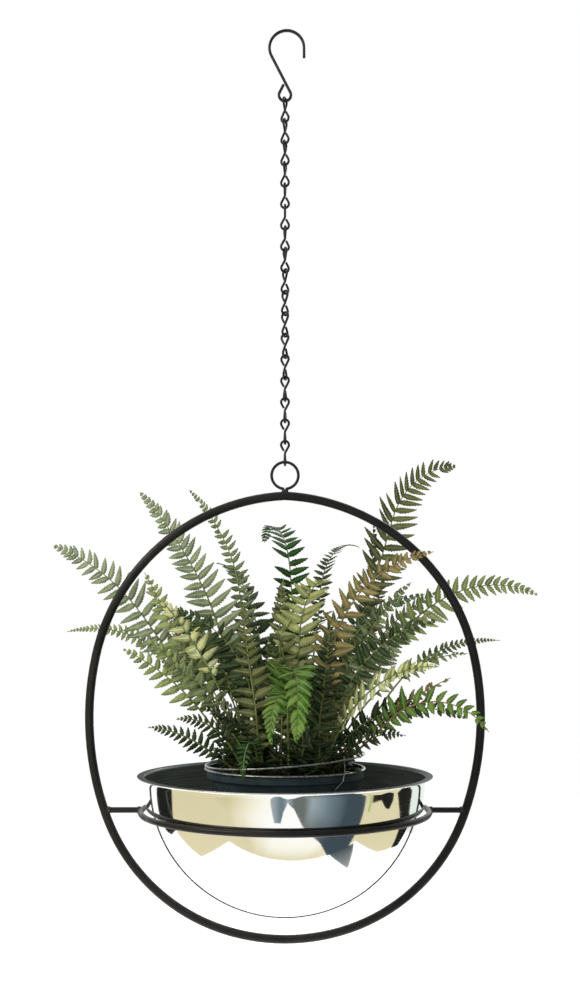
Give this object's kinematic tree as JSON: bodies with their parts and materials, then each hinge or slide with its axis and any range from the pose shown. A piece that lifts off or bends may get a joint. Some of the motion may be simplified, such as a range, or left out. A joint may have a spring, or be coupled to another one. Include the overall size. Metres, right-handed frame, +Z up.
{
  "type": "hanging basket",
  "caption": "Steel hoop hung from a hook and twisted-loop chain, with a ring that carries a polished bowl and a potted fern.",
  "frame": {"origin": "the point inside the hook's curve that bears on whatever the planter hangs from", "axes": "+Z up along the hanging chain, +X to the right in the plane of the hook and hoop, +Y away from the front"},
  "size_m": [0.5535, 0.3226, 1.006],
  "materials": {
    "frame_black": "satin black paint, slightly chalky",
    "chain_black": "black oxide, half gloss",
    "bowl_steel": "mirror polished outside, thin bright lip",
    "pot_plastic": "thin dark blue-grey plastic",
    "rim_wire": "dull galvanised wire",
    "soil": "dark peaty compost",
    "fern_crown": "matted leaf bases",
    "fern": "soft green leaf"
  },
  "bodies": {
    "hook": {"hook": "chain_black"},
    "link_01": {"chain_link_01": "chain_black"},
    "link_02": {"chain_link_02": "chain_black"},
    "link_03": {"chain_link_03": "chain_black"},
    "link_04": {"chain_link_04": "chain_black"},
    "link_05": {"chain_link_05": "chain_black"},
    "link_06": {"chain_link_06": "chain_black"},
    "link_07": {"chain_link_07": "chain_black"},
    "link_08": {"chain_link_08": "chain_black"},
    "link_09": {"chain_link_09": "chain_black"},
    "link_10": {"chain_link_10": "chain_black"},
    "link_11": {"chain_link_11": "chain_black"},
    "link_12": {"chain_link_12": "chain_black"},
    "link_13": {"chain_link_13": "chain_black"},
    "link_14": {"chain_link_14": "chain_black"},
    "link_15": {"chain_link_15": "chain_black"},
    "link_16": {"chain_link_16": "chain_black"},
    "link_17": {"chain_link_17": "chain_black"},
    "planter": {"hoop": "frame_black", "hanging_eye": "frame_black", "eye_weld": "frame_black", "left_arm": "frame_black", "right_arm": "frame_black", "arm_welds": "frame_black", "cradle_ring": "frame_black"},
    "bowl": {"bowl": "bowl_steel"},
    "potted_fern": {"nursery_pot": "pot_plastic", "soil": "soil", "fern_crown": "fern_crown", "rim_wire_lower": "rim_wire", "rim_wire_upper": "rim_wire", "rim_wire_tie": "rim_wire", "fern_frond_01": "fern", "fern_frond_02": "fern", "fern_frond_03": "fern", "fern_frond_04": "fern", "fern_frond_05": "fern", "fern_frond_06": "fern", "fern_frond_07": "fern", "fern_frond_08": "fern", "fern_frond_09": "fern", "fern_frond_10": "fern", "fern_frond_11": "fern", "fern_frond_12": "fern", "fern_frond_13": "fern", "fern_frond_14": "fern", "fern_frond_15": "fern", "fern_frond_16": "fern", "fern_frond_17": "fern", "fern_frond_18": "fern", "fern_frond_19": "fern", "fern_frond_20": "fern", "fern_frond_21": "fern", "fern_frond_22": "fern", "fern_frond_23": "fern", "fern_frond_24": "fern", "fern_frond_25": "fern", "fern_frond_26": "fern", "fern_frond_27": "fern"}
  },
  "joints": [
    {"name": "link_01_swing", "type": "hinge", "parent": "hook", "child": "link_01", "pos_m": [0, 0, -0.0758], "axis": [1, 0, 0], "range_deg": [-55, 55]},
    {"name": "link_02_swing", "type": "hinge", "parent": "link_01", "child": "link_02", "pos_m": [0, 0, -0.09615], "axis": [0.403, 0.9152, 0], "range_deg": [-55, 55]},
    {"name": "link_03_swing", "type": "hinge", "parent": "link_02", "child": "link_03", "pos_m": [0, 0, -0.12267], "axis": [-0.9152, 0.403, 0], "range_deg": [-55, 55]},
    {"name": "link_04_swing", "type": "hinge", "parent": "link_03", "child": "link_04", "pos_m": [0, 0, -0.14329], "axis": [-0.2563, -0.9666, 0], "range_deg": [-55, 55]},
    {"name": "link_05_swing", "type": "hinge", "parent": "link_04", "child": "link_05", "pos_m": [0, 0, -0.16981], "axis": [0.9666, -0.2563, 0], "range_deg": [-55, 55]},
    {"name": "link_06_swing", "type": "hinge", "parent": "link_05", "child": "link_06", "pos_m": [0, 0, -0.19043], "axis": [-0.0089, 1, 0], "range_deg": [-55, 55]},
    {"name": "link_07_swing", "type": "hinge", "parent": "link_06", "child": "link_07", "pos_m": [0, 0, -0.21695], "axis": [-1, -0.0089, 0], "range_deg": [-55, 55]},
    {"name": "link_08_swing", "type": "hinge", "parent": "link_07", "child": "link_08", "pos_m": [0, 0, -0.23757], "axis": [0.3378, -0.9412, 0], "range_deg": [-55, 55]},
    {"name": "link_09_swing", "type": "hinge", "parent": "link_08", "child": "link_09", "pos_m": [0, 0, -0.26409], "axis": [0.9412, 0.3378, 0], "range_deg": [-55, 55]},
    {"name": "link_10_swing", "type": "hinge", "parent": "link_09", "child": "link_10", "pos_m": [0, 0, -0.28471], "axis": [-0.6462, 0.7631, 0], "range_deg": [-55, 55]},
    {"name": "link_11_swing", "type": "hinge", "parent": "link_10", "child": "link_11", "pos_m": [0, 0, -0.31123], "axis": [-0.7631, -0.6462, 0], "range_deg": [-55, 55]},
    {"name": "link_12_swing", "type": "hinge", "parent": "link_11", "child": "link_12", "pos_m": [0, 0, -0.33186], "axis": [0.8615, -0.5077, 0], "range_deg": [-55, 55]},
    {"name": "link_13_swing", "type": "hinge", "parent": "link_12", "child": "link_13", "pos_m": [0, 0, -0.35838], "axis": [0.5077, 0.8615, 0], "range_deg": [-55, 55]},
    {"name": "link_14_swing", "type": "hinge", "parent": "link_13", "child": "link_14", "pos_m": [0, 0, -0.379], "axis": [-0.9652, 0.2614, 0], "range_deg": [-55, 55]},
    {"name": "link_15_swing", "type": "hinge", "parent": "link_14", "child": "link_15", "pos_m": [0, 0, -0.40552], "axis": [-0.2614, -0.9652, 0], "range_deg": [-55, 55]},
    {"name": "link_16_swing", "type": "hinge", "parent": "link_15", "child": "link_16", "pos_m": [0, 0, -0.42614], "axis": [0.9941, -0.1086, 0], "range_deg": [-55, 55]},
    {"name": "link_17_swing", "type": "hinge", "parent": "link_16", "child": "link_17", "pos_m": [0, 0, -0.45266], "axis": [0.1086, 0.9941, 0], "range_deg": [-55, 55]},
    {"name": "planter_swing", "type": "hinge", "parent": "link_17", "child": "planter", "pos_m": [0, 0, -0.473], "axis": [1, 0, 0], "range_deg": [-45, 45]},
    {"name": "bowl_lift", "type": "slide", "parent": "planter", "child": "bowl", "axis": [0, 0, 1], "range_m": [0, 0.1]},
    {"name": "pot_lift", "type": "slide", "parent": "bowl", "child": "potted_fern", "axis": [0, 0, 1], "range_m": [0, 0.15], "deforming": ["fern_frond_01", "fern_frond_02", "fern_frond_03", "fern_frond_04", "fern_frond_05", "fern_frond_06", "fern_frond_07", "fern_frond_08", "fern_frond_09", "fern_frond_10", "fern_frond_11", "fern_frond_12", "fern_frond_13", "fern_frond_14", "fern_frond_15", "fern_frond_16", "fern_frond_17", "fern_frond_18", "fern_frond_19", "fern_frond_20", "fern_frond_21", "fern_frond_22", "fern_frond_23", "fern_frond_24", "fern_frond_25", "fern_frond_26", "fern_frond_27"]}
  ]
}
